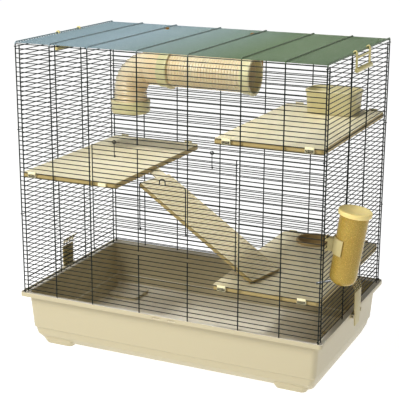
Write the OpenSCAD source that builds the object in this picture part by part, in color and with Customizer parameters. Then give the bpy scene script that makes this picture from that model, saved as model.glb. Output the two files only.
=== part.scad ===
// Wire hamster cage on a deep plastic tray, with three platforms, a ramp, a
// climbing tube, a food bowl and a water bottle.
// Origin: centre of the tray on the floor. X is width, -Y is the front, Z is up.

/* [Tray] */
// Width of the tray over its rim
tray_w = 828; // [824:1:832]
// Depth of the tray over its rim
tray_d = 502; // [501:1:508]
// Height of the tray over its rim lip
tray_h = 148; // [146:0.1:150]
// Thickness of the tray's moulded wall
tray_wall = 3; // [2:0.5:3.5]

/* [Wire cage] */
// Height of the cage's highest wires above the floor
cage_top = 801.4; // [800:0.1:803]
// Distance from one thin bar to the next
pitch = 11.6; // [11.5:0.05:11.7]
// Diameter of the thin bars
bar_d = 2; // [1.6:0.1:2.2]
// Diameter of the uprights and roof cross wires
upright_d = 2.8; // [2.4:0.1:3]
// Diameter of the door frame wires
frame_d = 2.3; // [2:0.1:2.4]

/* [Platforms] */
// Width of each platform
platform_w = 268; // [240:1:268]
// Thickness of each platform over its edge
platform_t = 14; // [12:0.5:16]
// Bar that the left platform is level with
left_row = 27; // [26:1:28]
// Bar that the upper right platform is level with
upper_row = 39; // [38:1:40]
// Bar that the lower right platform is level with
lower_row = 8; // [8:1:9]
// Diameter of the round hole in the lower platform
hole_d = 92; // [80:1:92]

/* [Ramp] */
// Width of the ramp
ramp_w = 115; // [90:1:120]
// Slope of the ramp below level
ramp_slope = 27.5; // [26:0.5:28]
// Turn of the ramp towards the front
ramp_turn = 13.2; // [8:0.1:14]

/* [Tube] */
// Outer diameter of the climbing tube
tube_d = 92; // [84:1:92]
// Height of the tube's centre line above the floor
tube_z = 690; // [680:1:695]

/* [Bowl and bottle] */
// Length of the food bowl over its rim
bowl_w = 140; // [120:1:150]
// Width of the food bowl over its rim
bowl_d = 92; // [80:1:100]
// Height of the food bowl
bowl_h = 62; // [50:1:65]
// Diameter of the water bottle at its mouth
bottle_d = 68; // [60:1:69]
// Length of the water bottle without its lid
bottle_l = 178; // [160:1:185]
// Lean of the water bottle away from the cage
bottle_lean = 8.3; // [6:0.1:9]

/* [Hidden] */

// Colours
cream = "#dcd2ae";
pale_cream = "#f0ead0";
clip_cream = "#c9bd8e";
wire_green = "#2f4a3c";
tube_amber = "#f0d09a";
olive = "#b9b47c";
ring_brown = "#8a7448";
honey = "#cfae58";
steel = "#b8bcc0";

// Clearances: between fixed neighbours, and between parts that move
touch = 0.05;
run = 0.3;

// Tray levels and corner radii
lip_drop = 11.5;
ledge_z = tray_h - 3.2;
wall_top_in = 14;
step_z = 47;
chamfer_z = 28;
belly_z = 9;
foot_l = 78;
foot_h = 21;
foot_x = 333;
foot_y = 178;
tray_r = 14;

// Cage wires: x and y are centre lines
cage_w = tray_w - 22;
cage_d = tray_d - 12.8;
cage_z = ledge_z + 0.3;
roof_z = cage_top - upright_d / 2;
side = cage_w / 2;
front = cage_d / 2;
inset = (upright_d + bar_d) / 2 + touch;
bend_r = 5.5;
first_bar = 156.6;
rows = 56;
roof_rows = 21;
posts = [66.5, 200, 305.5, side];
side_posts = [65.5, 228];
hook_rows = [0, 18, 37, 55];
heavy_row = 3;
heavy_d = 3;

// Doors: rows of their hinge bar and their top bar
door_hinge = 12;
door_top = 35;
door_x = 191.5;
gate_hinge = 18;
gate_top = 28;
gate_x = 61.5;
gate_corner = 7;
eye_r = (frame_d + bar_d) / 2 + 0.1;
hook_x = 129.5;
hook_d = 1.8;

// Platforms: left ends of each, and where their hooks sit
platform_y = 239.5;
left_x = -398.5;
right_x = 130.5;
skin = 3;
hook_w = 22;

// Tube
tube_y = 156;
tube_x0 = -300;
tube_wall = 2;
bend = 66;
ring_x = -198;
ring_l = 30;
end_x = 44;
end_l = 28;

// Bottle: where the axis meets its round bottom
bottle_x = 437;
bottle_y = -190;
bottle_z = 284;
spout_tilt = 20;
spout_d = 6.4;

function bar_z(k) = first_bar + k * pitch;
function side_z(k) = first_bar + (k - 0.5) * pitch;

// Straight wires along each axis
module wire_x(x0, x1, y, z, d) {
    translate([x0, y, z]) rotate([0, 90, 0]) cylinder(h = x1 - x0, d = d, $fn = 16);
}
module wire_y(x, y0, y1, z, d) {
    translate([x, y0, z]) rotate([-90, 0, 0]) cylinder(h = y1 - y0, d = d, $fn = 16);
}
module wire_z(x, y, z0, z1, d) {
    translate([x, y, z0]) cylinder(h = z1 - z0, d = d, $fn = 16);
}
// Part of a wire ring about the Z axis, from one angle on
module wire_arc(r, d, from, angle) {
    rotate([0, 0, from]) rotate_extrude(angle = angle, $fn = 48) translate([r, 0]) circle(d = d, $fn = 16);
}
// The same in an upright plane: angles go from +Y to +Z, or from +X to +Z
module arc_yz(x, y, z, r, d, from, angle) {
    translate([x, y, z]) rotate([90, 0, 90]) wire_arc(r, d, from, angle);
}
module arc_xz(x, y, z, r, d, from, angle) {
    translate([x, y, z]) rotate([90, 0, 0]) wire_arc(r, d, from, angle);
}
module both_x() {
    children();
    mirror([1, 0, 0]) children();
}
module rounded_plate(w, d, h, r) {
    linear_extrude(h) rounded_outline(w, d, r);
}
module rounded_outline(w, d, r) {
    square([w - 2 * r, d], center = true);
    square([w, d - 2 * r], center = true);
    for (x = [-1, 1], y = [-1, 1]) {
        translate([x * (w / 2 - r), y * (d / 2 - r)]) circle(r, $fn = 48);
    }
}
// Tapered block with round corners between two levels
module taper(w0, d0, r0, z0, w1, d1, r1, z1) {
    hull() {
        for (x = [-1, 1], y = [-1, 1]) {
            translate([x * (w0 / 2 - r0), y * (d0 / 2 - r0), z0])
                cylinder(r = r0, h = 0.01, $fn = 40);
            translate([x * (w1 / 2 - r1), y * (d1 / 2 - r1), z1 - 0.01])
                cylinder(r = r1, h = 0.01, $fn = 40);
        }
    }
}

// ---- Tray ----

// The tray's body, taken in all round by t
module tray_body(t) {
    top_w = tray_w - 2 * wall_top_in;
    top_d = tray_d - 2 * wall_top_in;
    low_w = top_w - 20;
    low_d = top_d - 20;
    z_top = t > 0 ? tray_h + 1 : tray_h - 3;
    taper(low_w - 24 - 2 * t, low_d - 38 - 2 * t, tray_r + 4 - t, belly_z + t,
          low_w - 8 - 2 * t, low_d - 6 - 2 * t, tray_r - t, chamfer_z + 0.01);
    taper(low_w - 8 - 2 * t, low_d - 6 - 2 * t, tray_r - t, chamfer_z,
          low_w - 2 * t, low_d - 2 * t, tray_r - t, step_z + t + 0.5);
    taper(low_w + 6 - 2 * t, low_d + 7 - 2 * t, tray_r + 1 - t, step_z + t,
          top_w - 2 * t, top_d - 2 * t, tray_r + 2 - t, z_top);
}
module tray() {
    color(cream) {
        difference() {
            union() {
                tray_body(0);
                // Rim: a skirt that hangs outside, and the ledge that the cage stands on
                translate([0, 0, tray_h - lip_drop]) difference() {
                    rounded_plate(tray_w, tray_d, lip_drop, 8);
                    translate([0, 0, -1]) rounded_plate(tray_w - 6, tray_d - 6, lip_drop - 6 + 1, 5);
                    translate([0, 0, ledge_z - tray_h + lip_drop])
                        rounded_plate(tray_w - 5, tray_d - 4, lip_drop, 5);
                }
                feet();
            }
            tray_body(tray_wall);
            // Two short slots in the front rim
            for (x = [-17, 26]) {
                translate([x - 9, -tray_d / 2 - 1, tray_h - 9]) cube([18, 5, 3.5]);
            }
        }
        clip_lugs();
    }
}
// Low pads under the four corners, part of the tray's moulding
module feet() {
    for (x = [-1, 1], y = [-1, 1]) {
        translate([x * foot_x, y * foot_y, 0]) rounded_plate(foot_l, foot_l, foot_h, 12);
    }
}
clip_w = 52;
clip_x = tray_w / 2 + 4.2;
clip_z = tray_h - 6;
pin_d = 4;
// Two ears at each end of the tray that hold the clip's pin
module clip_lugs() {
    both_x() for (y = [-1, 1]) {
        difference() {
            translate([tray_w / 2 - 0.5, y * (clip_w / 2 + 3) - 2, clip_z - 5]) cube([9.5, 4, 10]);
            translate([clip_x, y * (clip_w / 2 + 3) + 3, clip_z]) rotate([90, 0, 0])
                cylinder(d = pin_d + 0.04, h = 6, $fn = 24);
        }
    }
}
module clip_pins() {
    color(steel) both_x() {
        wire_y(clip_x, -clip_w / 2 - 5, clip_w / 2 + 5, clip_z, pin_d);
    }
}
// Lever clip: a plate on a pin at the rim, with four fingers that curl in to the bars
module tray_clip() {
    plate = 3;
    finger_w = 8;
    finger_r = 32;
    finger_z = 62;
    gap = (clip_w - 4 * finger_w) / 3;
    difference() {
        union() {
            wire_y(clip_x, -clip_w / 2, clip_w / 2, clip_z, 7.2);
            translate([clip_x, -clip_w / 2, clip_z - 3]) cube([plate, clip_w, 6]);
            translate([clip_x + 1, -clip_w / 2, clip_z - 30]) cube([plate, clip_w, 30 + finger_z]);
            translate([clip_x + 1, 0, clip_z - 30]) rotate([0, 90, 0])
                scale([0.3, 1, 1]) cylinder(d = clip_w, h = plate, $fn = 48);
        }
        translate([clip_x, clip_w, clip_z]) rotate([90, 0, 0])
            cylinder(d = pin_d + 0.2, h = 2 * clip_w, $fn = 24);
    }
    for (n = [0 : 3]) {
        translate([clip_x + 1 + plate - finger_r, -clip_w / 2 + n * (finger_w + gap) + finger_w, clip_z + finger_z])
            rotate([90, 0, 0]) curled_finger(finger_r, plate, finger_w);
    }
}
// One curled finger: an arc of a flat strip, from upright to leaning in
module curled_finger(r, t, w) {
    linear_extrude(w) intersection() {
        difference() {
            circle(r, $fn = 64);
            circle(r - t, $fn = 64);
        }
        polygon([[0, 0], [r + 1, 0], [r + 1, r + 1], [r * 0.62, r + 1]]);
    }
}
module right_tray_clip() {
    color(clip_cream) tray_clip();
}
module left_tray_clip() {
    color(clip_cream) mirror([1, 0, 0]) tray_clip();
}

// ---- Wire cage ----

module front_grille() {
    y = -front + inset;
    end = side + upright_d / 2;
    color(wire_green) {
        for (k = [0 : rows - 1]) {
            if (k > door_hinge && k <= door_top) {
                both_x() wire_x(posts[1] - upright_d / 2, end, y, bar_z(k), bar_d);
            } else {
                wire_x(-end, end, y, bar_z(k), bar_d);
            }
        }
        both_x() {
            for (n = [1 : 3]) wire_z(posts[n], -front, cage_z, roof_z - bend_r, upright_d);
            wire_z(posts[0], -front, cage_z, bar_z(door_hinge) + bar_d / 2, upright_d);
            wire_z(posts[0], -front, bar_z(door_top + 1) - bar_d / 2, roof_z - bend_r, upright_d);
        }
    }
}
module back_grille() {
    end = side + upright_d / 2;
    color(wire_green) {
        for (k = [0 : rows - 1]) wire_x(-end, end, front - inset, bar_z(k), bar_d);
        both_x() for (x = posts) wire_z(x, front, cage_z, roof_z - bend_r, upright_d);
    }
}
module roof_grille() {
    end = side + upright_d / 2;
    color(wire_green) {
        for (k = [0 : roof_rows - 1], s = [-1, 1]) {
            wire_x(-end, end, s * (k + 0.5) * pitch, roof_z - inset, bar_d);
        }
        both_x() for (x = posts) {
            wire_y(x, -front + bend_r, front - bend_r, roof_z, upright_d);
            arc_yz(x, front - bend_r, roof_z - bend_r, bend_r, upright_d, 0, 90);
            arc_yz(x, -front + bend_r, roof_z - bend_r, bend_r, upright_d, 90, 90);
        }
    }
}
// One end panel, drawn for the right side; four of its bars hook round the corner posts
module end_grille() {
    x = side - inset;
    reach = side_posts[1] + upright_d / 2;
    for (k = [0 : rows - 1]) {
        hooked = len(search(k, hook_rows)) > 0;
        y = hooked ? front : reach;
        if (k != heavy_row) wire_y(x, -y, y, side_z(k), bar_d);
        if (hooked) {
            translate([side, -front, side_z(k)]) wire_arc(inset, bar_d, 180, 170);
            translate([side, front, side_z(k)]) wire_arc(inset, bar_d, 10, 170);
        }
    }
    wire_y(x - (heavy_d - bar_d) / 2, -reach, reach, side_z(heavy_row), heavy_d);
    for (y = side_posts, s = [-1, 1]) {
        wire_z(side, s * y, cage_z, side_z(rows - 1) + bar_d / 2, upright_d);
    }
}
module right_grille() {
    color(wire_green) end_grille();
}
module left_grille() {
    color(wire_green) mirror([1, 0, 0]) end_grille();
}

// ---- Doors ----

// Open eye round a hinge bar, carried on as a straight frame wire up to z1
module hinge_wire(x, k, z1) {
    y = -front + inset - eye_r;
    wire_z(x, y, bar_z(k), z1, frame_d);
    arc_yz(x, -front + inset, bar_z(k), eye_r, frame_d, 180, 235);
}
module big_door() {
    y = -front + inset;
    fy = y - eye_r;
    end = door_x + frame_d;
    inner = posts[0] - frame_d / 2;
    color(wire_green) {
        for (k = [door_hinge + 1 : door_top]) {
            if (k > gate_hinge && k <= gate_top) {
                both_x() wire_x(inner, end, y, bar_z(k), bar_d);
            } else {
                wire_x(-end, end, y, bar_z(k), bar_d);
            }
        }
        both_x() {
            hinge_wire(door_x, door_hinge, bar_z(door_top) + bar_d / 2);
            wire_z(posts[0], fy, bar_z(door_hinge + 1) - bar_d / 2, bar_z(door_top) + bar_d / 2, frame_d);
        }
    }
}
module small_door() {
    y = -front + inset;
    fy = y - eye_r;
    top = bar_z(gate_top) + 1;
    loop_r = 7.5;
    neck_r = 3;
    loop_z = top + neck_r + 4;
    color(wire_green) {
        for (k = [gate_hinge + 1 : gate_top]) {
            wire_x(-gate_x - frame_d / 2, gate_x + frame_d / 2, y, bar_z(k), bar_d);
        }
        both_x() {
            hinge_wire(gate_x, gate_hinge, top - gate_corner);
            arc_xz(gate_x - gate_corner, fy, top - gate_corner, gate_corner, frame_d, 0, 90);
            wire_x(loop_r + neck_r, gate_x - gate_corner, fy, top, frame_d);
            arc_xz(loop_r + neck_r, fy, top + neck_r, neck_r, frame_d, 180, 90);
            wire_z(loop_r, fy, top + neck_r, loop_z, frame_d);
        }
        // Raised thumb loop in the middle of the top wire
        arc_xz(0, fy, loop_z, loop_r, frame_d, 0, 180);
    }
}
// Door hook: an eye round the door's bar, a stem, a finger ring and a tip over the cage's bar
module door_hook(x) {
    y = -front + inset;
    k = door_top - 2;
    r = (hook_d + bar_d) / 2 + run;
    curl_r = 1.7;
    tip_z = bar_z(door_top + 1) + bar_d / 2 + hook_d / 2 + 0.5;
    wire_z(x, y - r, bar_z(k), tip_z - curl_r, hook_d);
    arc_yz(x, y, bar_z(k), r, hook_d, 180, 225);
    arc_yz(x, y - r + curl_r, tip_z - curl_r, curl_r, hook_d, 90, 90);
    wire_y(x, y - r + curl_r, y + 1, tip_z, hook_d);
    arc_xz(x, y - r, tip_z - curl_r, 4.2, hook_d - 0.2, 0, 360);
}
module left_door_hook() {
    color(wire_green) door_hook(-hook_x);
}
module right_door_hook() {
    color(wire_green) door_hook(hook_x);
}

// ---- Carry handles ----

handle_rows = [-4, 5];
handle_drop = 46;
handle_brace = 12;
// Moulded bail, drawn for the right side: two loops round the roof's edge wire that sit between
// roof bars, two legs, a grip, and a thin brace above it
module handle() {
    loop_w = 8;
    loop_r = 5.5;
    leg_x = side + 2.2;
    leg_t = 4;
    y0 = handle_rows[0] * pitch;
    y1 = handle_rows[1] * pitch;
    for (y = [y0, y1]) translate([0, y, 0]) {
        difference() {
            union() {
                translate([side, loop_w / 2, roof_z]) rotate([90, 0, 0])
                    cylinder(r = loop_r, h = loop_w, $fn = 32);
                translate([leg_x, -loop_w / 2, roof_z - handle_drop + 4]) cube([leg_t, loop_w, handle_drop - 4]);
            }
            translate([side, loop_w, roof_z]) rotate([90, 0, 0])
                cylinder(d = upright_d + 0.2, h = 2 * loop_w, $fn = 24);
        }
    }
    translate([leg_x + 4, y0 - loop_w / 2, roof_z - handle_drop + 5]) rotate([-90, 0, 0])
        cylinder(d = 12, h = y1 - y0 + loop_w, $fn = 32);
    wire_y(leg_x + 2, y0, y1, roof_z - handle_brace, 5);
}
module right_handle() {
    color(pale_cream) handle();
}
module left_handle() {
    color(pale_cream) mirror([1, 0, 0]) handle();
}

// ---- Platforms ----

// Shelf moulded as a plate with a turned down edge, its left end at x and its top at z
module platform(x, z) {
    translate([x + platform_w / 2, 0, z - platform_t]) difference() {
        rounded_plate(platform_w, 2 * platform_y, platform_t, 8);
        translate([0, 0, -1])
            rounded_plate(platform_w - 2 * skin, 2 * (platform_y - skin), platform_t - skin + 1, 6);
    }
}
catch_x = -139;
catch_y = -28;
catch_z = bar_z(left_row) - 11.4;
module left_platform() {
    top = bar_z(left_row);
    color(pale_cream) {
        difference() {
            platform(left_x, top);
            // Notch in the turned down edge for the ramp's tongue
            translate([left_x + platform_w - skin - 1, catch_y - 27, top - platform_t - 1]) cube([skin + 2, 50, 8]);
        }
        // Ledge under the plate that the ramp's bead lies on, carried by two webs
        translate([catch_x - 9.5, catch_y - 24, catch_z - 5.9]) cube([9, 48, 2.5]);
        for (y = [catch_y - 26, catch_y + 24]) {
            translate([catch_x - 9.5, y, catch_z - 5.9]) cube([9, 2, top - skin + 0.5 - catch_z + 5.9]);
        }
    }
}
module upper_platform() {
    color(pale_cream) platform(right_x, bar_z(upper_row));
}
hole_x = 238;
hole_y = 190;
module lower_platform() {
    top = bar_z(lower_row);
    color(pale_cream) difference() {
        union() {
            platform(right_x, top);
            translate([hole_x, hole_y, top - platform_t]) cylinder(d = hole_d + 4, h = platform_t - 1, $fn = 64);
        }
        translate([hole_x, hole_y, top - platform_t - 1]) cylinder(d = hole_d, h = platform_t + 2, $fn = 64);
    }
}
// Collar pushed into the lower platform's hole from above
module platform_ring() {
    r = hole_d / 2 - 0.3;
    z = bar_z(lower_row) + 0.1;
    color(ring_brown) translate([hole_x, hole_y, z]) rotate_extrude($fn = 96)
        polygon([[r - 2.7, -26], [r, -26], [r, 0], [r + 3.5, 0], [r + 3.5, 6], [r + 2, 7.5], [r - 2.7, 7.5]]);
}
// Pegs on the platforms' long edges that pass between two bars; all but the one behind
// the big door turn up outside the bar
module platform_hook(x, k, s, lip) {
    y0 = platform_y;
    out = front - inset + bar_d / 2 + 0.5;
    translate([x - hook_w / 2, s > 0 ? y0 : -out - 3, bar_z(k - 1) + 1.4])
        cube([hook_w, out + 3 - y0, pitch - bar_d - 0.8]);
    if (lip) {
        translate([x - hook_w / 2, s > 0 ? out : -out - 3, bar_z(k - 1) + 1.4]) cube([hook_w, 3, pitch + 3]);
    }
}
module platform_hooks() {
    color(pale_cream) for (s = [-1, 1]) {
        for (x = [left_x + 30, left_x + 233]) platform_hook(x, left_row, s, s > 0 || x < -200);
        for (x = [right_x + 34, right_x + 237]) platform_hook(x, upper_row, s, true);
        for (x = [right_x + 26, right_x + 229]) platform_hook(x, lower_row, s, true);
    }
}

// ---- Ramp ----

// Drawn level along +X from the bead of its tongue, then sloped, turned and placed
tongue_l = 35;
tongue_w = 40;
tongue_at = 27.5;
rail_h = 11;
module ramp() {
    far = (catch_z - bar_z(lower_row) - 0.3 - (rail_h - 2) * cos(ramp_slope)) / sin(ramp_slope);
    ribs = floor((far - tongue_l - 16) / 18);
    color(pale_cream) translate([catch_x, catch_y, catch_z]) rotate([0, 0, -ramp_turn]) rotate([0, ramp_slope, 0]) {
        rotate([90, 0, 0]) translate([0, 0, -tongue_w / 2]) cylinder(d = 6, h = tongue_w, $fn = 24);
        translate([0, -tongue_w / 2, -1.2]) cube([tongue_l + 1, tongue_w, 2.4]);
        translate([tongue_l, -ramp_w / 2 - tongue_at, -1.2]) cube([far - tongue_l, ramp_w, 2.4]);
        for (y = [0, ramp_w - 3]) {
            translate([tongue_l, -ramp_w / 2 - tongue_at + y, 2 - rail_h]) cube([far - tongue_l, 3, rail_h]);
        }
        for (x = [tongue_l, far - 3]) {
            translate([x, -ramp_w / 2 - tongue_at, 2 - rail_h]) cube([3, ramp_w, rail_h]);
        }
        for (n = [1 : ribs]) {
            translate([tongue_l + n * 18 - 1, -ramp_w / 2 - tongue_at + 8, 0]) cube([2.5, ramp_w - 16, 2.6]);
        }
    }
}

// ---- Climbing tube ----

module pipe_x(x0, x1, r, t) {
    translate([x0, tube_y, tube_z]) rotate([0, 90, 0]) difference() {
        cylinder(r = r, h = x1 - x0, $fn = 96);
        translate([0, 0, -1]) cylinder(r = r - t, h = x1 - x0 + 2, $fn = 96);
    }
}
module tube_collar() {
    h = 34;
    r = tube_d / 2 + 0.2;
    color(olive) translate([tube_x0, tube_y, tube_z - bend - 62]) rotate_extrude($fn = 96)
        polygon([[r - 3, 0], [r + 5, 0], [r + 8, 6], [r + 8, h], [r, h], [r, 8], [r - 3, 8]]);
}
module tube_elbow() {
    r = tube_d / 2;
    color(tube_amber) {
        translate([tube_x0, tube_y, tube_z - bend - 53]) difference() {
            cylinder(r = r, h = 53, $fn = 96);
            translate([0, 0, -1]) cylinder(r = r - tube_wall, h = 55, $fn = 96);
        }
        translate([tube_x0 + bend, tube_y, tube_z - bend]) rotate([90, 0, 0]) rotate([0, 0, 90])
            rotate_extrude(angle = 90, $fn = 96) translate([bend, 0]) difference() {
                circle(r, $fn = 64);
                circle(r - tube_wall, $fn = 64);
            }
        pipe_x(tube_x0 + bend, ring_x + 14, r, tube_wall);
    }
}
module tube_joint_ring() {
    r = tube_d / 2 + 0.2;
    color(olive) {
        pipe_x(ring_x, ring_x + ring_l, r + 3, 3);
        pipe_x(ring_x + ring_l - 7, ring_x + ring_l, r + 7, 4.5);
    }
}
module straight_tube() {
    color(tube_amber) pipe_x(ring_x + 15, end_x + 12, tube_d / 2, tube_wall);
}
module tube_end_ring() {
    r = tube_d / 2 + 0.2;
    color(olive) {
        pipe_x(end_x, end_x + end_l, r + 3.5, 3.5);
        pipe_x(end_x + end_l - 8, end_x + end_l, r + 7, 5);
    }
}
// Flat straps behind the two rings, carried on under the roof to a small hook over one bar
module tube_hangers() {
    y = tube_y + tube_d / 2 + 7.5;
    under = roof_z - inset - bar_d / 2 - 0.5;
    bar = 13.5 * pitch;
    color(tube_amber) for (p = [[ring_x + 19, ring_x + 9], [end_x + 17, end_x + 14]]) {
        translate([p[0] - 10, y, tube_z]) cube([20, 3, under - tube_z]);
        translate([p[0] - 10, bar + 4, under - 2.5]) cube([20, y - bar - 1, 2.5]);
        translate([p[1], bar + 4, under - 2.5]) cube([6, 2.5, 8.5]);
        translate([p[1], bar - 6, under + 3.5]) cube([6, 12.5, 2.5]);
        translate([p[1], bar - 6, under - 1]) cube([6, 2.5, 7]);
    }
}

// ---- Food bowl ----

bowl_x = 285;
bowl_y = 170;
module food_bowl() {
    z = bar_z(upper_row) + 0.2;
    wall = 3;
    color(olive) translate([bowl_x, bowl_y, z]) difference() {
        union() {
            taper(bowl_w - 14, bowl_d - 14, 20, 0, bowl_w - 4, bowl_d - 4, 24, bowl_h);
            translate([0, 0, bowl_h - 6]) rounded_plate(bowl_w, bowl_d, 6, 26);
        }
        taper(bowl_w - 14 - 2 * wall, bowl_d - 14 - 2 * wall, 17, wall,
              bowl_w - 4 - 2 * wall, bowl_d - 4 - 2 * wall, 21, bowl_h + 0.02);
    }
}

// ---- Water bottle ----

bottle_wall = 2;
module on_bottle() {
    translate([bottle_x, bottle_y, bottle_z]) rotate([0, bottle_lean, 0]) children();
}
// Radius of the bottle's outside at height h above its round bottom
function bottle_r(h) = bottle_d / 2 - 2 * (1 - h / bottle_l);
module bottle_body() {
    round_r = 22;
    r = bottle_r(round_r);
    top = bottle_d / 2;
    t = bottle_wall;
    color(honey) difference() {
        on_bottle() rotate_extrude($fn = 96) difference() {
            bottle_profile(0, round_r, r, top);
            bottle_profile(t, round_r, r, top);
        }
        on_spout() translate([0, 0, -40]) cylinder(d = spout_d + 4, h = 80, $fn = 24);
    }
}
module bottle_profile(t, round_r, r, top) {
    over = t > 0 ? 1 : 0;
    turn = round_r - t;
    round = [for (a = [0 : 15 : 90]) [r - round_r + turn * sin(a), round_r - turn * cos(a)]];
    polygon(concat([[0, t]], round, [[top - t, bottle_l + over], [0, bottle_l + over]]));
}
module bottle_lid() {
    r = bottle_d / 2;
    color(honey) on_bottle() translate([0, 0, bottle_l + 0.1]) rotate_extrude($fn = 96)
        polygon([[0, 0], [r + 0.3, 0], [r + 0.3, -6], [r + 5, -6], [r + 5, 4], [r + 3, 5], [0, 5]]);
}
// The spout's own axis, from the bottle's lower inner side down between two bars
spout_row = 11;
module on_spout() {
    translate([side - inset, bottle_y, bar_z(spout_row)]) rotate([0, -90 - spout_tilt, 0]) children();
}
module bottle_seal() {
    color("#e9e4d2") on_spout() difference() {
        translate([0, 0, -21]) cylinder(d = spout_d + 3.8, h = 8, $fn = 32);
        translate([0, 0, -22]) cylinder(d = spout_d + 0.1, h = 10, $fn = 32);
    }
}
// Steel spout: a straight tube, narrowed at its tip to hold the ball
spout_in = 26;
spout_out = 34;
module bottle_spout() {
    color(steel) on_spout() difference() {
        translate([0, 0, -spout_out]) cylinder(d = spout_d, h = spout_out + spout_in, $fn = 32);
        translate([0, 0, -spout_out - 1]) cylinder(d = spout_d - 1.6, h = spout_out + spout_in, $fn = 32);
        translate([0, 0, spout_in - 2]) cylinder(d = spout_d - 3, h = 3, $fn = 32);
    }
}
module spout_ball() {
    color(steel) on_spout() translate([0, 0, spout_in - 3.9]) sphere(d = spout_d - 1.8, $fn = 32);
}
// Bracket outside the end panel: two pegs hook between its bars, two arms cradle the bottle
module bottle_holder() {
    low = 76;
    band_h = 38;
    mid_r = bottle_r(low + band_h / 2);
    outside = side - inset + bar_d / 2 + 0.1;
    color(clip_cream) {
        difference() {
            union() {
                on_bottle() translate([0, 0, low]) cylinder(r = mid_r + 3.4, h = band_h, $fn = 96);
                translate([outside, bottle_y - 9, bottle_z + low + 3]) cube([15, 18, 30]);
            }
            on_bottle() translate([0, 0, low - 5]) cylinder(r = mid_r + 0.8, h = band_h + 10, $fn = 96);
            on_bottle() translate([-6, -60, low - 1]) cube([80, 120, band_h + 2]);
        }
        for (k = [18, 20]) {
            translate([outside - 5.5, bottle_y - 9, bar_z(k) - 4]) cube([5.5, 18, 8]);
            translate([outside - 5.5, bottle_y - 9, bar_z(k) - 4]) cube([2.5, 18, 12]);
        }
    }
}

tray();
left_tray_clip();
right_tray_clip();
clip_pins();
front_grille();
roof_grille();
back_grille();
left_grille();
right_grille();
big_door();
small_door();
left_door_hook();
right_door_hook();
left_handle();
right_handle();
left_platform();
upper_platform();
lower_platform();
platform_ring();
platform_hooks();
ramp();
tube_collar();
tube_elbow();
tube_joint_ring();
straight_tube();
tube_end_ring();
tube_hangers();
food_bowl();
bottle_body();
bottle_lid();
bottle_seal();
bottle_spout();
spout_ball();
bottle_holder();
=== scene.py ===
import math

import bpy
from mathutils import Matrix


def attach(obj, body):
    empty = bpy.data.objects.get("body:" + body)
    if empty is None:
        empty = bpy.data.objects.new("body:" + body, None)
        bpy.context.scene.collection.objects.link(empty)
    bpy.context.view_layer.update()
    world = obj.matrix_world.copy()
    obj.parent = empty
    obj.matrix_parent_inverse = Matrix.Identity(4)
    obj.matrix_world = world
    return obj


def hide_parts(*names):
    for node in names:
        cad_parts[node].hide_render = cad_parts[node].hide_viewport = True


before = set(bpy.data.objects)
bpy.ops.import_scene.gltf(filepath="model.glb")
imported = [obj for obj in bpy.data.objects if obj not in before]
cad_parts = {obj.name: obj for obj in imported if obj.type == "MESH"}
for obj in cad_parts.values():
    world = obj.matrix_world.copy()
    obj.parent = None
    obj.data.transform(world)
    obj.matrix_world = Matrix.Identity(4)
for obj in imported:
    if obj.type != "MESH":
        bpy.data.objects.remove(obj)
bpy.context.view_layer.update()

# ---- Camera ----
# A long lens well back, a little above the roof and to the right of the front, so that the
# cage's uprights stay nearly parallel.
camera_data = bpy.data.cameras.new("camera")
camera_data.lens = 101.2
camera_data.sensor_width = 36
camera = bpy.data.objects.new("camera", camera_data)
camera.location = (1.1733, -2.5562, 1.1774)
camera.rotation_euler = (1.29570, -0.00434, 0.43611)
bpy.context.scene.collection.objects.link(camera)
bpy.context.scene.camera = camera

# ---- Tray ----
# One deep injection moulding in cream polypropylene, with a ledge inside its rim's lip that the
# wire cage stands on, two slots in its front rim, and four low pads under its corners.


def linear(hex_value):
    """An sRGB hex colour as the linear values that a socket takes."""
    parts = [int(hex_value[n:n + 2], 16) / 255 for n in (1, 3, 5)]
    return [*(c / 12.92 if c <= 0.04045 else ((c + 0.055) / 1.055) ** 2.4 for c in parts), 1.0]


def add_node(material, kind, settings=None, inputs=None):
    """Adds a node, sets its properties, and sets or links its inputs."""
    node = material.node_tree.nodes.new("ShaderNode" + kind)
    for name, value in (settings or {}).items():
        setattr(node, name, value)
    for name, value in (inputs or {}).items():
        if isinstance(value, bpy.types.NodeSocket):
            material.node_tree.links.new(value, node.inputs[name])
        else:
            node.inputs[name].default_value = value
    return node


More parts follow.
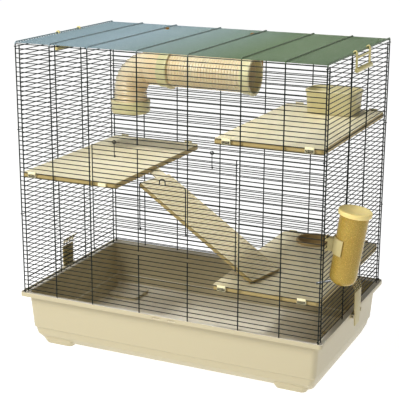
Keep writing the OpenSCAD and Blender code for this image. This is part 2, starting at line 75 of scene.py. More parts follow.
def surface(name, deep, pale, grain, rough, relief=0.12, upright=None, **shader_values):
    """A moulded, dipped or drawn finish: two tones that drift into each other over about 140 mm,
    and a skin grain in metres. Real mould grain is 0.1 to 0.3 mm, too fine to show, so it is drawn
    at about 1 mm. Where upright is given, walls take that tone as painted shade, and level faces
    keep the other two."""
    drift_per_metre = 7
    gloss_below, gloss_above = 0.05, 0.06
    material = bpy.data.materials.new(name)
    material.use_nodes = True
    material.node_tree.nodes.clear()
    coordinates = add_node(material, "TexCoord")
    place = coordinates.outputs["Object"]
    drift = add_node(material, "TexNoise", inputs={
        "Vector": place, "Scale": drift_per_metre, "Detail": 4, "Roughness": 0.55})
    tone = add_node(material, "ValToRGB", inputs={"Fac": drift.outputs["Fac"]})
    tone.color_ramp.elements[0].position = 0.3
    tone.color_ramp.elements[1].position = 0.7
    tone.color_ramp.elements[0].color = linear(deep)
    tone.color_ramp.elements[1].color = linear(pale)
    colour = tone.outputs["Color"]
    if upright:
        facing = add_node(material, "SeparateXYZ", inputs={"Vector": coordinates.outputs["Normal"]})
        level = add_node(material, "MapRange", inputs={
            "Value": facing.outputs["Z"], "From Min": 0.35, "From Max": 0.8, "To Min": 0, "To Max": 1})
        colour = add_node(material, "MixRGB", inputs={
            "Fac": level.outputs["Result"], "Color1": linear(upright), "Color2": colour}).outputs["Color"]
    skin = add_node(material, "TexNoise", inputs={"Vector": place, "Scale": 1 / grain, "Detail": 2})
    bump = add_node(material, "Bump", inputs={
        "Height": skin.outputs["Fac"], "Strength": relief, "Distance": grain / 4})
    gloss = add_node(material, "MapRange", inputs={
        "Value": skin.outputs["Fac"], "From Min": 0.3, "From Max": 0.7,
        "To Min": rough - gloss_below, "To Max": rough + gloss_above})
    shader = add_node(material, "BsdfPrincipled", inputs={
        "Base Color": colour, "Roughness": gloss.outputs["Result"],
        "Normal": bump.outputs["Normal"], "IOR": 1.49})
    for socket, value in shader_values.items():
        shader.inputs[socket.replace("_", " ")].default_value = value
    add_node(material, "OutputMaterial", inputs={"Surface": shader.outputs["BSDF"]})
    return material


def outline(width, depth, radius, height, steps):
    """A level loop: a plane at that size with bevelled corners, and no face."""
    bpy.ops.object.select_all(action="DESELECT")
    bpy.ops.mesh.primitive_plane_add(size=1, location=(0, 0, 0))
    bpy.ops.object.mode_set(mode="EDIT")
    bpy.ops.transform.resize(value=(width, depth, 1))
    bpy.ops.transform.translate(value=(0, 0, height))
    bpy.ops.mesh.bevel(offset=radius, segments=steps, affect="VERTICES")
    bpy.ops.mesh.delete(type="ONLY_FACE")
    bpy.ops.object.mode_set(mode="OBJECT")
    return bpy.context.object


def joined(objects, name):
    """Joins objects into the first one."""
    bpy.ops.object.select_all(action="DESELECT")
    for part in objects:
        part.select_set(True)
    bpy.context.view_layer.objects.active = objects[0]
    if len(objects) > 1:
        bpy.ops.object.join()
    objects[0].name = name
    objects[0].data.name = name
    return objects[0]


def loft(name, levels, steps=8):
    """A closed skin bridged from loop to loop, with its first and last loops filled."""
    loops = []
    for n, level in enumerate(levels):
        loop = outline(*level, steps)
        loop.vertex_groups.new(name=f"level_{n}").add(range(len(loop.data.vertices)), 1, "ADD")
        loops.append(loop)
    skin = joined(loops, name)
    bpy.ops.object.mode_set(mode="EDIT")
    bpy.ops.mesh.select_mode(type="VERT")
    for n in range(len(levels) - 1):
        bpy.ops.mesh.select_all(action="DESELECT")
        for level in (n, n + 1):
            bpy.ops.object.vertex_group_set_active(group=f"level_{level}")
            bpy.ops.object.vertex_group_select()
        bpy.ops.mesh.bridge_edge_loops()
    for level in (0, len(levels) - 1):
        bpy.ops.mesh.select_all(action="DESELECT")
        bpy.ops.object.vertex_group_set_active(group=f"level_{level}")
        bpy.ops.object.vertex_group_select()
        bpy.ops.mesh.edge_face_add()
    bpy.ops.mesh.select_all(action="SELECT")
    bpy.ops.mesh.normals_make_consistent(inside=False)
    bpy.ops.object.mode_set(mode="OBJECT")
    skin.vertex_groups.clear()
    return skin


def placed(piece):
    """Puts a piece's place, turn and size into its mesh."""
    bpy.ops.object.select_all(action="DESELECT")
    piece.select_set(True)
    bpy.context.view_layer.objects.active = piece
    bpy.ops.object.transform_apply(location=True, rotation=True, scale=True)
    return piece


def block(name, low, high):
    """A box between two corners, as a start for a moulded detail."""
    bpy.ops.object.select_all(action="DESELECT")
    bpy.ops.mesh.primitive_cube_add(size=1, location=[(a + b) / 2 for a, b in zip(low, high)],
                                    scale=[b - a for a, b in zip(low, high)])
    bpy.context.object.name = name
    placed(bpy.context.object)
    return bpy.context.object


def cut(piece, tool, how="DIFFERENCE"):
    """Cuts the tool out of the piece, or adds it, and removes the tool."""
    change = piece.modifiers.new("cut", "BOOLEAN")
    change.operation = how
    change.solver = "EXACT"
    change.object = tool
    bpy.context.view_layer.objects.active = piece
    bpy.ops.object.modifier_apply(modifier="cut")
    bpy.data.objects.remove(tool)
    return piece


def eased(piece, width, segments=2, angle=30):
    """Rounds the sharp edges as a mould does, and smooths the rest."""
    bpy.ops.object.select_all(action="DESELECT")
    piece.select_set(True)
    bpy.context.view_layer.objects.active = piece
    edge = piece.modifiers.new("edge", "BEVEL")
    edge.width = width
    edge.segments = segments
    edge.limit_method = "ANGLE"
    edge.angle_limit = math.radians(angle)
    bpy.ops.object.modifier_apply(modifier="edge")
    bpy.ops.object.shade_smooth_by_angle(angle=math.radians(35))
    return piece


def finished(piece, material, body, slot, *nodes):
    """Gives a piece its material, its body and the CAD nodes that it stands for."""
    piece.data.materials.clear()
    piece.data.materials.append(material)
    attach(piece, body)
    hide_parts(*nodes)
    return piece


rim_top = 0.148
foot_x, foot_y = 0.333, 0.178
# Each level is width, depth, corner radius and height: up the inside, over the rim, down outside.
tray = loft("tray_moulding", [
    (0.750, 0.410, 0.015, 0.012), (0.766, 0.442, 0.011, 0.029), (0.774, 0.448, 0.011, 0.0485),
    (0.780, 0.455, 0.012, 0.0515), (0.7938, 0.4678, 0.013, 0.1449), (0.823, 0.498, 0.006, 0.1451),
    (0.8232, 0.4982, 0.006, 0.1479), (0.828, 0.502, 0.008, rim_top), (0.828, 0.502, 0.008, 0.1365),
    (0.822, 0.496, 0.006, 0.1366), (0.8215, 0.4955, 0.006, 0.1418), (0.7998, 0.4738, 0.016, 0.1417),
    (0.786, 0.461, 0.015, 0.0485), (0.780, 0.454, 0.014, 0.0455), (0.772, 0.448, 0.014, 0.028),
    (0.756, 0.416, 0.018, 0.009)])
slot_places = (-0.017, 0.026)
for x in slot_places:
    cut(tray, block("slot", (x - 0.010, -0.253, 0.1400), (x + 0.010, -0.2465, 0.1440)))
eased(tray, 0.0010, 3)
pads = []
for x in (-1, 1):
    for y in (-1, 1):
        pad = loft("pad", [
            (0.073, 0.073, 0.010, 0), (0.078, 0.078, 0.012, 0.0015), (0.094, 0.086, 0.014, 0.0135),
            (0.094, 0.086, 0.014, 0.021)], 5)
        for v in pad.data.vertices:
            v.select = v.co.z > 0.01
        bpy.ops.object.mode_set(mode="EDIT")
        bpy.ops.transform.translate(value=(-x * 0.008, -y * 0.004, 0))
        bpy.ops.object.mode_set(mode="OBJECT")
        pad.location = (x * foot_x, y * foot_y, 0)
        pads.append(placed(pad))
ear_from, ear_to = 0.4135, 0.4230
for side in (-1, 1):
    for y in (-0.029, 0.029):
        low, high = sorted((side * ear_from, side * ear_to))
        pads.append(eased(block("ear", (low, y - 0.002, 0.1370), (high, y + 0.002, 0.1470)), 0.0012))
joined([tray, *pads], "tray_moulding")
# Polypropylene in cream: waxy, a little light goes into it, satin from a lightly blasted mould.
# Its level faces are paler than its walls, which stands for more light reaching the open floor.
cream_tray = surface(
    "cream_polypropylene", "#eee9da", "#f5f1e6", 0.0012, 0.36, 0.10, "#cec4a6",
    Subsurface_Weight=0.05, Subsurface_Radius=(0.004, 0.003, 0.0015),
    Coat_Weight=0.15, Coat_Roughness=0.25)
finished(tray, cream_tray, "tray", "tray_plastic", "tray")

# ---- Clip pins ----
# Two short steel pins, one pushed through the rim's ears at each end. A clip turns on each.
# Their CAD shape is right as it is, so it only gets its finish.


def dressed(node, material):
    """Gives a CAD node its material."""
    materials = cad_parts[node].data.materials
    materials.clear()
    materials.append(material)


# Drawn steel: bright grey, with soft reflections and a faint grain from the die. It is a metal,
# so it keeps the shader's own IOR.
drawn_steel = surface(
    "drawn_steel", "#9a9da0", "#c4c7c9", 0.0006, 0.28, 0.1, Metallic=1.0, IOR=1.5)
dressed("clip_pins", drawn_steel)

# ---- Tray clips ----
# A beige moulded lever at each end: a plate on the rim's pin, and four springy fingers that
# curl in over the bars.


def rod(name, radius, length, at, sides=32, turn=(math.pi / 2, 0, 0)):
    """A round bar, as a start: along Y unless it is turned otherwise."""
    bpy.ops.object.select_all(action="DESELECT")
    bpy.ops.mesh.primitive_cylinder_add(vertices=sides, radius=radius, depth=length,
                                        location=at, rotation=turn)
    bpy.context.object.name = name
    return placed(bpy.context.object)


def mirrored(piece):
    """Carries a right-hand piece over to the left end, with its faces pointing outwards again."""
    piece.scale.x = -1
    placed(piece)
    bpy.ops.object.mode_set(mode="EDIT")
    bpy.ops.mesh.select_all(action="SELECT")
    bpy.ops.mesh.normals_make_consistent(inside=False)
    bpy.ops.object.mode_set(mode="OBJECT")
    return piece


# Unpainted beige polypropylene: satin, a shade browner than the tray.
clip_beige = surface(
    "beige_polypropylene", "#bfb07a", "#d3c799", 0.0009, 0.34, 0.12,
    Subsurface_Weight=0.06, Subsurface_Radius=(0.003, 0.002, 0.001))
clip_in, clip_out = 0.4192, 0.4222
clip_half = 0.026
clip_foot, clip_neck = 0.1120, 0.2040
finger_width, finger_pitch = 0.008, 0.014667
curl_steps, curl_turn = 6, math.radians(9.8)
for side, word in ((-1, "left"), (1, "right")):
    plate = block("plate", (clip_in, -clip_half, clip_foot), (clip_out, clip_half, clip_neck))
    bpy.ops.object.mode_set(mode="EDIT")
    bpy.ops.mesh.select_all(action="SELECT")
    bpy.ops.mesh.subdivide(number_cuts=1)
    bpy.ops.mesh.select_all(action="DESELECT")
    bpy.ops.object.mode_set(mode="OBJECT")
    for v in plate.data.vertices:
        v.select = v.co.z < 0.118
    bpy.ops.object.mode_set(mode="EDIT")
    bpy.ops.transform.resize(value=(1, 0.62, 1), center_override=(0.4207, 0, clip_foot))
    bpy.ops.object.mode_set(mode="OBJECT")
    parts = [eased(plate, 0.001)]
    for n in range(4):
        y = -clip_half + n * finger_pitch
        finger = block("finger", (clip_in, y, 0.2015), (clip_out, y + finger_width, clip_neck))
        for v in finger.data.vertices:
            v.select = v.co.z > 0.203
        for polygon in finger.data.polygons:
            polygon.select = polygon.center.z > 0.203
        bpy.ops.object.mode_set(mode="EDIT")
        bpy.ops.mesh.select_mode(type="FACE")
        for step in range(curl_steps):
            bpy.ops.mesh.extrude_region_move(TRANSFORM_OT_translate={"value": (0, 0, 0)})
            bpy.ops.transform.rotate(value=curl_turn, orient_axis="Y", orient_type="GLOBAL",
                                     center_override=(0.3902, y, clip_neck))
        bpy.ops.mesh.select_mode(type="VERT")
        bpy.ops.object.mode_set(mode="OBJECT")
        parts.append(eased(finger, 0.0007))
    parts.append(eased(rod("boss", 0.0036, 2 * clip_half, (0.4182, 0, 0.1420)), 0.0006))
    clip = joined(parts, f"{word}_clip_lever")
    if side < 0:
        mirrored(clip)
    finished(clip, clip_beige, f"{word}_clip", "clip_plastic", f"{word}_tray_clip")

# ---- Wire panels ----
# Steel wire, spot-welded at its crossings, then dipped in dark green coating. The panels, the
# doors and the door hooks keep their CAD shapes and only get their finish.
# Dip coating: nearly black green, smooth and softly glossy, with slow changes of tone.
green_dip = surface("green_dip_coating", "#0d1612", "#17251e", 0.0011, 0.3, 0.15,
                    Specular_IOR_Level=0.35)
# The roof's wires are the same dark green dip as the rest, painted lighter under a glossier skin:
# a painted reflection that goes along X from green at the right end to grey-blue at the left.
roof_painted_reflection = surface("green_dip_with_painted_reflection", "#5c7252", "#84979e", 0.0011, 0.3, 0.15,
                   Coat_Weight=0.4, Coat_Roughness=0.15)
roof_half = 0.45
roof_place = add_node(roof_painted_reflection, "TexCoord")
along = add_node(roof_painted_reflection, "SeparateXYZ", inputs={"Vector": roof_place.outputs["Object"]})
fade = add_node(roof_painted_reflection, "MapRange", inputs={
    "Value": along.outputs["X"], "From Min": roof_half, "From Max": -roof_half})
roof_painted_reflection.node_tree.links.new(fade.outputs["Result"], roof_painted_reflection.node_tree.nodes["Color Ramp"].inputs["Fac"])
dressed("roof_grille", roof_painted_reflection)
for node in ("front_grille", "back_grille", "left_grille", "right_grille",
             "big_door", "small_door", "left_door_hook", "right_door_hook"):
    dressed(node, green_dip)

# ---- Carry handles ----
# Moulded bails at both ends of the roof: two eyes on the roof's edge wire, two flat legs and
# a round grip, with a thin brace above it.
# Straw-coloured polypropylene: smooth and fairly glossy, thin enough for light to soften its edges.
handle_cream = surface(
    "straw_polypropylene", "#d6ca8e", "#e6dca8", 0.0009, 0.3, 0.1,
    Subsurface_Weight=0.08, Subsurface_Radius=(0.003, 0.002, 0.001))
eye_places = (-0.0464, 0.058)
handle_middle = sum(eye_places) / 2
eye_x, eye_z, eye_stretch = 0.403, 0.800, 2.1
for side, word in ((-1, "left"), (1, "right")):
    parts = []
    for y in eye_places:
        bpy.ops.object.select_all(action="DESELECT")
        bpy.ops.mesh.primitive_torus_add(major_segments=32, minor_segments=12, major_radius=0.0036,
                                         minor_radius=0.0019, location=(eye_x, y, eye_z),
                                         rotation=(math.pi / 2, 0, 0))
        eye = placed(bpy.context.object)
        bpy.ops.object.mode_set(mode="EDIT")
        bpy.ops.mesh.select_all(action="SELECT")
        bpy.ops.transform.resize(value=(1, eye_stretch, 1), center_override=(eye_x, y, eye_z))
        bpy.ops.object.mode_set(mode="OBJECT")
        bpy.ops.object.shade_smooth()
        parts.append(eye)
        leg = block("leg", (0.4052, y - 0.004, 0.757), (0.4092, y + 0.004, 0.799))
        parts.append(eased(leg, 0.0012, 3))
    for name, radius, length, x, z in (("grip", 0.006, 0.1124, 0.4092, 0.759),
                                       ("brace", 0.0025, 0.1044, 0.4072, 0.788)):
        parts.append(eased(rod(name, radius, length, (x, handle_middle, z)), radius * 0.3, 3))
    handle = joined(parts, f"{word}_carry_handle")
    if side < 0:
        mirrored(handle)
    finished(handle, handle_cream, f"{word}_handle", "handle_plastic", f"{word}_handle")

# ---- Platforms ----
# Three moulded shelves: a thin plate with a turned-down edge all round, hung on the wires by
# pegs. The lower one has a round hole to climb through.
#
# Pale cream polypropylene, matt and a little rough for grip. Its turned-down edges are browner
# than its tops, which stands for the shade that they hang in.
shelf_cream = surface(
    "pale_cream_polypropylene", "#e8dfbe", "#f2ebd2", 0.0014, 0.42, 0.2, "#bfab76",
    Subsurface_Weight=0.04, Subsurface_Radius=(0.004, 0.003, 0.0015))
# Each level is width, depth, corner radius and height under the top.
shelf_profile = [
    (0.262, 0.473, 0.006, -0.003), (0.262, 0.473, 0.006, -0.0139), (0.268, 0.479, 0.008, -0.014),
    (0.268, 0.479, 0.008, -0.0002), (0.2655, 0.4765, 0.0068, 0.0)]
shelf_x = 0.2645
hole_x, hole_y, hole_z = 0.238, 0.190, 0.2419
standing = (0, 0, 0)
for name, node, x, top in (("left_shelf", "left_platform", -shelf_x, 0.4698),
                           ("upper_shelf", "upper_platform", shelf_x, 0.6090),
                           ("lower_shelf", "lower_platform", shelf_x, 0.2494)):
    shelf = loft(name, shelf_profile)
    shelf.location = (x, 0, top)
    placed(shelf)
    if node == "left_platform":
        cut(shelf, block("notch", (-0.1345, -0.055, 0.4538), (-0.1285, -0.005, 0.4628)))
    if node == "lower_platform":
        hole = (hole_x, hole_y, hole_z)
        cut(shelf, rod("boss", 0.048, 0.013, hole, 64, standing), "UNION")
        cut(shelf, rod("hole", 0.046, 0.05, hole, 64, standing))
    eased(shelf, 0.0009, 2)
    if node == "left_platform":
        ledge = [block("ledge", (-0.1485, -0.052, 0.4525), (-0.1395, -0.004, 0.4550)),
                 block("web", (-0.1485, -0.054, 0.4525), (-0.1395, -0.052, 0.4673)),
                 block("web", (-0.1485, -0.004, 0.4525), (-0.1395, -0.002, 0.4673))]
        joined([shelf, *ledge], name)
    finished(shelf, shelf_cream, "cage", "platform_plastic", node)

# ---- Hole collar ----
# A brown moulded sleeve pushed into the lower shelf's hole, with a rounded lip that stands a
# little above the shelf and a skirt that reaches below it.


def turned(name, profile, sides=64, turn=(0, 0, 0), at=(0, 0, 0)):
    """Spins a profile of (radius, height) points about Z, then turns and places it."""
    bpy.ops.object.select_all(action="DESELECT")
    bpy.ops.mesh.primitive_plane_add(size=0.001)
    piece = bpy.context.object
    piece.name = name
    bpy.ops.object.mode_set(mode="EDIT")
    bpy.ops.mesh.select_mode(type="VERT")
    bpy.ops.mesh.merge(type="CENTER")
    bpy.ops.transform.translate(value=(profile[0][0], 0, profile[0][1]))
    for (r0, z0), (r1, z1) in zip(profile, profile[1:]):
        bpy.ops.mesh.extrude_region_move(TRANSFORM_OT_translate={"value": (r1 - r0, 0, z1 - z0)})
    bpy.ops.mesh.select_all(action="SELECT")
    bpy.ops.mesh.spin(steps=sides, angle=2 * math.pi, center=(0, 0, 0), axis=(0, 0, 1))
    bpy.ops.mesh.select_all(action="SELECT")
    bpy.ops.mesh.remove_doubles(threshold=0.00002)
    bpy.ops.mesh.normals_make_consistent(inside=False)
    bpy.ops.object.mode_set(mode="OBJECT")
    piece.rotation_euler = turn
    piece.location = at
    placed(piece)
    bpy.ops.object.shade_smooth_by_angle(angle=math.radians(40))
    return piece


ring = turned("hole_collar", [
    (0.0430, -0.026), (0.0455, -0.026), (0.0457, -0.025), (0.0457, 0), (0.0490, 0),
    (0.0492, 0.001), (0.0492, 0.0055), (0.0480, 0.0073), (0.0440, 0.0075), (0.0430, 0.0066),
    (0.0430, -0.026)], 64, standing, (hole_x, hole_y, 0.2495))
# Brown polypropylene: dull, with the same satin grain as the shelves.
brown_ring = surface("brown_polypropylene", "#a08a60", "#b8a478", 0.0012, 0.42, 0.2)
finished(ring, brown_ring, "cage", "collar_plastic", "platform_ring")

# ---- Shelf pegs ----
# Small moulded pegs on the shelves' long edges. They pass out between two bars, and all but the
# one behind the big door turn up outside the bar.
# Cream polypropylene from a polished mould: paler and shinier than the shelves.
peg_cream = surface(
    "glossy_cream_polypropylene", "#efe6bc", "#f8f1d2", 0.0010, 0.3, 0.1,
    Subsurface_Weight=0.1, Subsurface_Radius=(0.003, 0.002, 0.001))
first_bar, bar_pitch = 0.1566, 0.0116
peg_half = 0.011
door_side_peg = -0.1655
pegs = []
for x_places, bar in (((-0.3685, door_side_peg), 27), ((0.1645, 0.3675), 39), ((0.1565, 0.3595), 8)):
    z = first_bar + (bar - 1) * bar_pitch
    for x in x_places:
        for side in (-1, 1):
            low, high = sorted((side * 0.2394, side * 0.24665))
            peg = block("peg", (x - peg_half, low, z + 0.0014), (x + peg_half, high, z + 0.0102))
            pegs.append(eased(peg, 0.0007))
            if side > 0 or x != door_side_peg:
                low, high = sorted((side * 0.24365, side * 0.24665))
                lip = block("lip", (x - peg_half, low, z + 0.0014), (x + peg_half, high, z + 0.0160))
                pegs.append(eased(lip, 0.0008))
finished(joined(pegs, "shelf_pegs"), peg_cream, "cage", "platform_plastic", "platform_hooks")

# ---- Ramp ----
# A moulded climbing board: thin plate, low rails and fine cross ribs for grip, hooked by its
# tongue's bead under the left shelf.
# It is the same pale cream polypropylene as the shelves.
board_near, board_far = 0.035, 0.4347
board_low, board_high = -0.085, 0.030
half_plate = 0.0012
rail = 0.003
rail_foot, rail_top = -0.009, 0.002
parts = [block("board", (board_near, board_low, -half_plate), (board_far, board_high, half_plate)),
         block("tongue", (0.0, -0.020, -half_plate), (0.037, 0.020, half_plate))]
for x0, x1, y0, y1 in ((board_near, board_far, board_low, board_low + rail),
                       (board_near, board_far, board_high - rail, board_high),
                       (board_near, board_near + rail, board_low, board_high),
                       (board_far - rail, board_far, board_low, board_high)):
    parts.append(eased(block("rail", (x0, y0, rail_foot), (x1, y1, rail_top)), 0.0008))
ribs = 42
for n in range(1, ribs):
    x = 0.038 + n * (board_far - 0.041) / ribs
    parts.append(block("rib", (x - 0.0011, -0.080, 0.0), (x + 0.0011, 0.025, 0.0024)))
parts.append(eased(rod("bead", 0.003, 0.040, (0, 0, 0), 24), 0.0005))
ramp = joined(parts, "climbing_ramp")
ramp.rotation_euler = (0, math.radians(27.5), math.radians(-13.2))
ramp.location = (-0.139, -0.028, 0.4584)
placed(ramp)
finished(ramp, shelf_cream, "ramp", "platform_plastic", "ramp")

# ---- Climbing tube ----
# A ribbed elbow and straight tube in thin, pale amber plastic, with olive moulded rings at the
# joint and both mouths, hung from the roof's bars by two amber straps.
# Amber-tinted styrene: thin and glossy, and it lets a little light through.
amber_film = surface(
    "amber_tinted_styrene", "#fce4ba", "#fff4da", 0.0010, 0.24, 0.05,
    Transmission_Weight=0.15, Subsurface_Weight=0.1, Coat_Weight=0.3, Coat_Roughness=0.1)
# Olive polypropylene: solid, smooth and fairly glossy, greyer than the tube that it grips.
olive_ring = surface("olive_polypropylene", "#d6cea2", "#e6dfbc", 0.0010, 0.3, 0.1,
                     Subsurface_Weight=0.05)
# Amber-tinted nylon: darker than the tube, glossy, a little see-through at its edges.
amber_strap = surface("amber_tinted_nylon", "#b98a46", "#cda055", 0.0010, 0.3, 0.1,
                      Transmission_Weight=0.2)
tube_y, tube_z = 0.156, 0.690
lying = (0, math.pi / 2, 0)
tube_length = 0.239
ridge, valley, bore = 0.0460, 0.0432, 0.0422
rib = 0.0085
count = int(tube_length / rib)
outside = []
for n in range(count):
    x = n * tube_length / count
    outside += [(valley, x), (ridge, x + rib * 0.3), (ridge, x + rib * 0.5), (valley, x + rib * 0.8)]
straight = turned("straight_ribbed_tube", [
    *outside, (valley, tube_length), (bore, tube_length), (bore, 0), (valley, 0)],
    64, lying, (-0.183, tube_y, tube_z))
finished(straight, amber_film, "cage", "tube_plastic", "straight_tube")

bpy.ops.object.select_all(action="DESELECT")
bpy.ops.mesh.primitive_circle_add(vertices=64, radius=ridge, location=(0, 0, 0))
elbow = bpy.context.object
bpy.ops.object.mode_set(mode="EDIT")
elbow_x, bend = -0.300, 0.066
bend_x, bend_z = -0.234, 0.624
leg_rings, leg_length = 12, 0.053
bpy.ops.transform.translate(value=(elbow_x, tube_y, 0.571))
wide = 1.0
for n in range(leg_rings):
    bpy.ops.mesh.extrude_region_move(TRANSFORM_OT_translate={"value": (0, 0, leg_length / leg_rings)})
    new = 0.94 if n % 2 == 0 else 1.0
    bpy.ops.transform.resize(value=(new / wide, new / wide, 1), center_override=(elbow_x, tube_y, 0.6))
    wide = new
steps = 18
for n in range(steps):
    bpy.ops.mesh.extrude_region_move(TRANSFORM_OT_translate={"value": (0, 0, 0)})
    bpy.ops.transform.rotate(value=-math.radians(90 / steps), orient_axis="Y", orient_type="GLOBAL",
                             center_override=(bend_x, tube_y, bend_z))
    angle = math.radians(90 * (n + 1) / steps)
    new = 0.935 if n % 2 == 0 else 1.0
    middle = (bend_x - bend * math.cos(angle), tube_y, bend_z + bend * math.sin(angle))
    bpy.ops.transform.resize(value=(new / wide,) * 3, center_override=middle)
    wide = new
bpy.ops.mesh.extrude_region_move(TRANSFORM_OT_translate={"value": (0.050, 0, 0)})
bpy.ops.mesh.select_all(action="SELECT")
bpy.ops.mesh.normals_make_consistent(inside=False)
bpy.ops.object.mode_set(mode="OBJECT")
wall = elbow.modifiers.new("wall", "SOLIDIFY")
wall.thickness = 0.0012
wall.offset = -1
bpy.ops.object.modifier_apply(modifier="wall")
bpy.ops.object.shade_smooth_by_angle(angle=math.radians(50))
elbow.name = "ribbed_elbow"
finished(elbow, amber_film, "cage", "tube_plastic", "tube_elbow")

collar = turned("mouth_collar", [
    (0.0432, 0), (0.0500, 0), (0.0520, 0.001), (0.0540, 0.006), (0.0542, 0.014), (0.0530, 0.016),
    (0.0530, 0.020), (0.0542, 0.022), (0.0542, 0.033), (0.0535, 0.034), (0.0462, 0.034),
    (0.0462, 0.008), (0.0432, 0.008), (0.0432, 0)], 64, standing, (elbow_x, tube_y, 0.562))
finished(collar, olive_ring, "cage", "ring_plastic", "tube_collar")
joint = turned("joint_ring", [
    (0.0462, 0), (0.0488, 0), (0.0492, 0.001), (0.0492, 0.023), (0.0526, 0.0235),
    (0.0532, 0.0245), (0.0532, 0.029), (0.0526, 0.030), (0.0462, 0.030), (0.0462, 0)],
    64, lying, (-0.198, tube_y, tube_z))
finished(joint, olive_ring, "cage", "ring_plastic", "tube_joint_ring")
mouth = turned("end_ring", [
    (0.0462, 0), (0.0492, 0), (0.0497, 0.001), (0.0497, 0.020), (0.0526, 0.0205),
    (0.0532, 0.0215), (0.0532, 0.027), (0.0526, 0.028), (0.0462, 0.028), (0.0462, 0)],
    64, lying, (0.044, tube_y, tube_z))
finished(mouth, olive_ring, "cage", "ring_plastic", "tube_end_ring")
strap_half, hook_width, hook_top = 0.010, 0.006, 0.80205
straps = []
for x, hook in ((-0.179, -0.189), (0.061, 0.058)):
    left, right, hook_far = x - strap_half, x + strap_half, hook + hook_width
    for low, high in (((left, 0.2095, tube_z), (right, 0.2125, 0.79605)),
                      ((left, 0.1606, 0.79355), (right, 0.2125, 0.79605)),
                      ((hook, 0.1606, 0.79355), (hook_far, 0.1631, hook_top)),
                      ((hook, 0.1506, 0.79955), (hook_far, 0.1631, hook_top)),
                      ((hook, 0.1506, 0.79505), (hook_far, 0.1531, hook_top))):
        straps.append(eased(block("strap", low, high), 0.0007))
finished(joined(straps, "tube_straps"), amber_strap, "cage", "hanger_plastic", "tube_hangers")

# ---- Food bowl ----
# A deep khaki moulded trough with rounded corners and a rolled rim. It stands loose on the upper
# shelf, near its back edge.
bowl = loft("food_bowl", [
    (0.118, 0.070, 0.016, 0.003), (0.120, 0.072, 0.018, 0.005), (0.130, 0.082, 0.021, 0.0618),
    (0.138, 0.090, 0.0255, 0.062), (0.140, 0.092, 0.026, 0.0605), (0.140, 0.092, 0.026, 0.056),
    (0.1358, 0.0878, 0.024, 0.0562), (0.127, 0.079, 0.020, 0.002), (0.123, 0.075, 0.018, 0.0)], 10)
bowl.location = (0.285, 0.170, 0.6092)
placed(bowl)
eased(bowl, 0.0008, 2, 25)
# Khaki polypropylene: satin, with a faint glow where light enters its rim.
khaki = surface(
    "khaki_polypropylene", "#d6cda2", "#e6dfbe", 0.0011, 0.34, 0.12,
    Subsurface_Weight=0.06, Subsurface_Radius=(0.003, 0.002, 0.001))
finished(bowl, khaki, "bowl", "bowl_plastic", "food_bowl")

# ---- Water bottle ----
# A blow-moulded honey-tinted bottle with a screw lid, leaning off a bracket on the end panel,
# with a ball-tipped steel spout through a rubber seal.
lean = (0, math.radians(8.3), 0)
foot = (0.437, -0.190, 0.284)
flat_foot, round_out, round_in = 0.0102, 0.022, 0.0202
profile = [(0, 0.0022), (0.0085, 0), (0.0100, 0)]
for step in range(1, 7):
    a = math.radians(15 * step)
    profile.append((flat_foot + round_out * math.sin(a), round_out - round_out * math.cos(a)))
profile += [(0.0326, 0.060), (0.0332, 0.110), (0.0337, 0.150), (0.0340, 0.174), (0.0340, 0.178),
            (0.0324, 0.178), (0.0324, 0.172), (0.0310, 0.060), (0.0304, 0.024)]
for step in range(5, 0, -1):
    a = math.radians(15 * step)
    profile.append((flat_foot + round_in * math.sin(a), round_out - round_in * math.cos(a)))
profile += [(0, 0.0034)]
bottle = turned("bottle_shell", profile, 64, lean, foot)
# Honey-tinted polyethylene: smooth and milky, glossy outside, with light coming through its wall.
honey = surface(
    "honey_tinted_polyethylene", "#d6ae44", "#e4c264", 0.0016, 0.24, 0.03,
    Transmission_Weight=0.35, Subsurface_Weight=0.15, Coat_Weight=0.2, Coat_Roughness=0.15)
finished(bottle, honey, "bottle", "bottle_plastic", "bottle_body")
neck = 0.1781
lid = turned("bottle_lid", [
    (0, 0.0001), (0.0343, 0.0001), (0.0343, -0.006), (0.0384, -0.006), (0.0390, -0.0054),
    (0.0390, 0.0030), (0.0380, 0.0042), (0.0350, 0.0046), (0.0310, 0.0050), (0.0290, 0.0042),
    (0, 0.0042)], 72, lean,
    (foot[0] + neck * math.sin(lean[1]), foot[1], foot[2] + neck * math.cos(lean[1])))
# Honey polypropylene: solid, so paler and flatter than the bottle under it.
honey_lid = surface(
    "honey_polypropylene", "#f2dc90", "#f9e8aa", 0.0010, 0.32, 0.12,
    Subsurface_Weight=0.08, Subsurface_Radius=(0.003, 0.002, 0.001))
finished(lid, honey_lid, "lid", "lid_plastic", "bottle_lid")
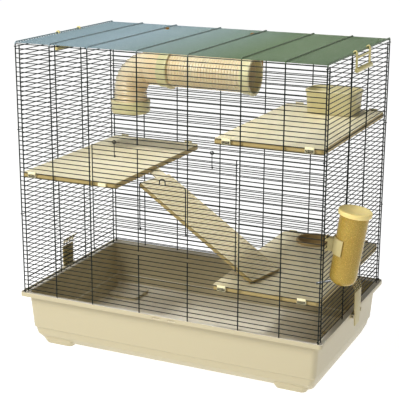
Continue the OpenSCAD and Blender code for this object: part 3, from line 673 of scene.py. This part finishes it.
# White silicone rubber: matt, with next to no grain.
soft_rubber = surface("white_silicone_rubber", "#dcd8c8", "#ece8da", 0.0008, 0.55, 0.15)
# The seal, spout, ball and bracket keep their CAD shapes.
dressed("bottle_seal", soft_rubber)
dressed("bottle_spout", drawn_steel)
dressed("spout_ball", drawn_steel)
dressed("bottle_holder", clip_beige)

# ---- Studio ----
# A plain pale floor that is lit from inside, a white sky, one soft box from the left front and
# one soft spot from above.
bpy.ops.object.select_all(action="DESELECT")
bpy.ops.mesh.primitive_plane_add(size=160, location=(0, 0, 0))
floor = bpy.context.object
floor.name = "floor"
# Lit acrylic: its own light makes it white, so that lamps and shadows hardly change it.
floor_glow = 0.91
floor.data.materials.append(surface(
    "lit_white_acrylic", "#8a8a88", "#8e8e8c", 0.02, 0.9, 0.0,
    Emission_Color=linear("#ffffff"), Emission_Strength=floor_glow))
# The sky is plain white to look at, and gives a third of that as light.
sky_light = 0.35
world = bpy.data.worlds.new("studio")
world.use_nodes = True
sky = world.node_tree.nodes["Background"]
sky.inputs["Color"].default_value = linear("#ffffff")
looked_at = world.node_tree.nodes.new("ShaderNodeLightPath")
strength = world.node_tree.nodes.new("ShaderNodeMapRange")
strength.inputs["To Min"].default_value = sky_light
world.node_tree.links.new(looked_at.outputs["Is Camera Ray"], strength.inputs["Value"])
world.node_tree.links.new(strength.outputs["Result"], sky.inputs["Strength"])
bpy.context.scene.world = world
bpy.context.scene.view_settings.view_transform = "Standard"
bpy.context.scene.view_settings.gamma = 0.82
key_data = bpy.data.lights.new("key", "AREA")
key_data.size = 1.6
key_data.energy = 82
top_data = bpy.data.lights.new("top", "SPOT")
top_data.spot_size = math.radians(30)
top_data.spot_blend = 0.6
top_data.shadow_soft_size = 0.25
top_data.energy = 190
for lamp_data, place, turn in ((key_data, (-1.0, -2.4, 2.6), (47.3, 0, -22.6)),
                               (top_data, (-0.1, -0.15, 3.3), (3, 0, 0))):
    lamp = bpy.data.objects.new(lamp_data.name, lamp_data)
    lamp.location = place
    lamp.rotation_euler = [math.radians(a) for a in turn]
    bpy.context.scene.collection.objects.link(lamp)
